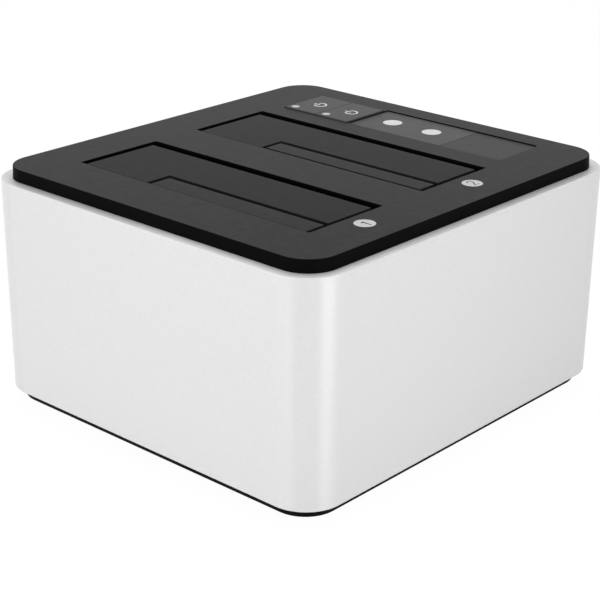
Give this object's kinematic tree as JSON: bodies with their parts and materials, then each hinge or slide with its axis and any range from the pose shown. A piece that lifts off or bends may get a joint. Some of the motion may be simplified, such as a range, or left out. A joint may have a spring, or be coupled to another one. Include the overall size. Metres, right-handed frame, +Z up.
{
  "type": "drive duplicator",
  "caption": "Top-loading drive duplicator: pale square-plan sleeve, dark top plate with long sprung-flap drive slots, a strip of power keys and status lights, dark base on feet.",
  "frame": {"origin": "on the table, under the middle of the footprint", "axes": "+Z up; -Y is the front, with the number discs; +X is the side with the power keys"},
  "size_m": [0.162, 0.1504, 0.0878],
  "materials": {
    "white_shell": "satin white moulded plastic",
    "dark_top": "fine matt texture, dark grey",
    "flap_dark": "fine matt texture, dark grey",
    "well_black": "matt black moulding",
    "black_base": "matt black moulding",
    "key_grey": "fine matt grey",
    "panel_grey": "smooth matt grey",
    "disc_white": "smooth milky white",
    "light_clear": "frosted light pipe",
    "led_epoxy": "cast resin",
    "foot_rubber": "matt black rubber",
    "board_green": "solder mask",
    "chip_black": "moulded chip body",
    "black_nylon": "moulded nylon",
    "cable_grey": "flat cable jacket",
    "can_aluminium": "plain can",
    "ferrite": "ferrite block",
    "plated_metal": "nickel plate",
    "screw_steel": "zinc plate",
    "spring_steel": "drawn wire"
  },
  "bodies": {
    "housing": {"base_screws": "screw_steel", "base_tray": "black_base", "board_screws": "screw_steel", "bridge_chips": "chip_black", "cable_headers": "black_nylon", "capacitors": "can_aluminium", "control_board": "board_green", "control_cable": "cable_grey", "control_screws": "screw_steel", "controller_chip": "chip_black", "dc_inlet": "black_nylon", "dc_pin": "plated_metal", "drive_socket_1": "black_nylon", "drive_socket_2": "black_nylon", "drive_well_1": "well_black", "drive_well_2": "well_black", "front_panel": "panel_grey", "inductors": "ferrite", "key_switch_1": "black_nylon", "key_switch_2": "black_nylon", "large_flap_pin_1": "screw_steel", "large_flap_pin_2": "screw_steel", "large_flap_spring_1": "spring_steel", "large_flap_spring_2": "spring_steel", "main_board": "board_green", "number_disc_1": "disc_white", "number_disc_2": "disc_white", "outer_sleeve": "white_shell", "rubber_foot_1": "foot_rubber", "rubber_foot_2": "foot_rubber", "rubber_foot_3": "foot_rubber", "rubber_foot_4": "foot_rubber", "small_flap_pin_1": "screw_steel", "small_flap_pin_2": "screw_steel", "small_flap_spring_1": "spring_steel", "small_flap_spring_2": "spring_steel", "status_leds": "led_epoxy", "status_light_1": "disc_white", "status_light_2": "disc_white", "status_panel": "panel_grey", "top_plate": "dark_top", "top_screws": "screw_steel", "usb_socket": "plated_metal", "usb_tongue": "black_nylon", "well_screws_1": "screw_steel", "well_screws_2": "screw_steel"},
    "large_flap_1_body": {"large_flap_1": "flap_dark"},
    "small_flap_1_body": {"small_flap_1": "flap_dark"},
    "power_key_1_body": {"power_key_1": "key_grey", "key_window_1": "light_clear", "switch_stem_1": "black_nylon"},
    "large_flap_2_body": {"large_flap_2": "flap_dark"},
    "small_flap_2_body": {"small_flap_2": "flap_dark"},
    "power_key_2_body": {"power_key_2": "key_grey", "key_window_2": "light_clear", "switch_stem_2": "black_nylon"}
  },
  "joints": [
    {"name": "large_flap_1_swing", "type": "hinge", "parent": "housing", "child": "large_flap_1_body", "pos_m": [-0.02105, 0.00005, 0.0827], "axis": [0, -1, 0], "range_deg": [0, 90], "stiffness_Nm_per_rad": 0.004, "springref_deg": -45.84},
    {"name": "small_flap_1_swing", "type": "hinge", "parent": "housing", "child": "small_flap_1_body", "pos_m": [-0.05705, -0.0164, 0.0827], "axis": [0, 1, 0], "range_deg": [0, 90], "stiffness_Nm_per_rad": 0.001, "springref_deg": -45.84},
    {"name": "large_flap_2_swing", "type": "hinge", "parent": "housing", "child": "large_flap_2_body", "pos_m": [0.0344, 0.00005, 0.0827], "axis": [0, -1, 0], "range_deg": [0, 90], "stiffness_Nm_per_rad": 0.004, "springref_deg": -45.84},
    {"name": "small_flap_2_swing", "type": "hinge", "parent": "housing", "child": "small_flap_2_body", "pos_m": [-0.0016, -0.0164, 0.0827], "axis": [0, 1, 0], "range_deg": [0, 90], "stiffness_Nm_per_rad": 0.001, "springref_deg": -45.84},
    {"name": "power_key_1_press", "type": "slide", "parent": "housing", "child": "power_key_1_body", "axis": [0, 0, -1], "range_m": [0, 0.0006], "stiffness_N_per_m": 1500, "springref_m": -0.0004},
    {"name": "power_key_2_press", "type": "slide", "parent": "housing", "child": "power_key_2_body", "axis": [0, 0, -1], "range_m": [0, 0.0006], "stiffness_N_per_m": 1500, "springref_m": -0.0004}
  ]
}
